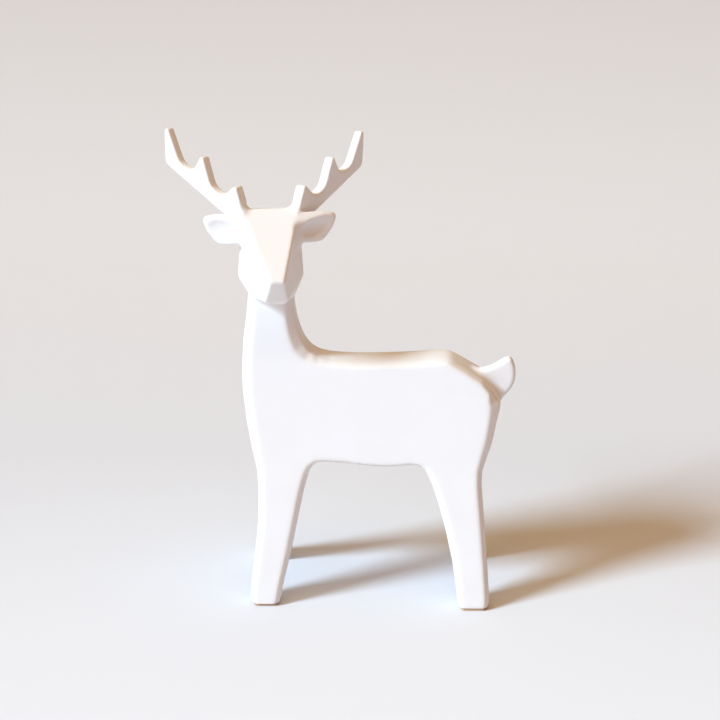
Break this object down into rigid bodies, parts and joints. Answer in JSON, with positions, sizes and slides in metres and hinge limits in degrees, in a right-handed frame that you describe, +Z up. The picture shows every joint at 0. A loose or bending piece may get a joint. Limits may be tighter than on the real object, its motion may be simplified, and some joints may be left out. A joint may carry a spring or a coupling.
{
  "type": "reindeer figurine",
  "caption": "Standing reindeer figurine in matte white ceramic, with a faceted hollow body, splayed legs and a turned head with branched plate antlers.",
  "frame": {"origin": "middle of the object's box in plan, on the surface that it stands on", "axes": "+Z up; the body points along -X, and the deer's left flank and its turned face look along -Y"},
  "size_m": [0.2686, 0.1258, 0.3546],
  "materials": {
    "matte_glaze": "matte",
    "foot_pad": "matte"
  },
  "bodies": {
    "root": {"trunk": "matte_glaze", "head": "matte_glaze", "antler_left": "matte_glaze", "antler_right": "matte_glaze", "ear_left": "matte_glaze", "ear_right": "matte_glaze", "leg_front_left": "matte_glaze", "leg_front_right": "matte_glaze", "leg_rear_left": "matte_glaze", "leg_rear_right": "matte_glaze", "tail": "matte_glaze", "foot_pad_front_left": "foot_pad", "foot_pad_front_right": "foot_pad", "foot_pad_rear_left": "foot_pad", "foot_pad_rear_right": "foot_pad"}
  },
  "joints": []
}
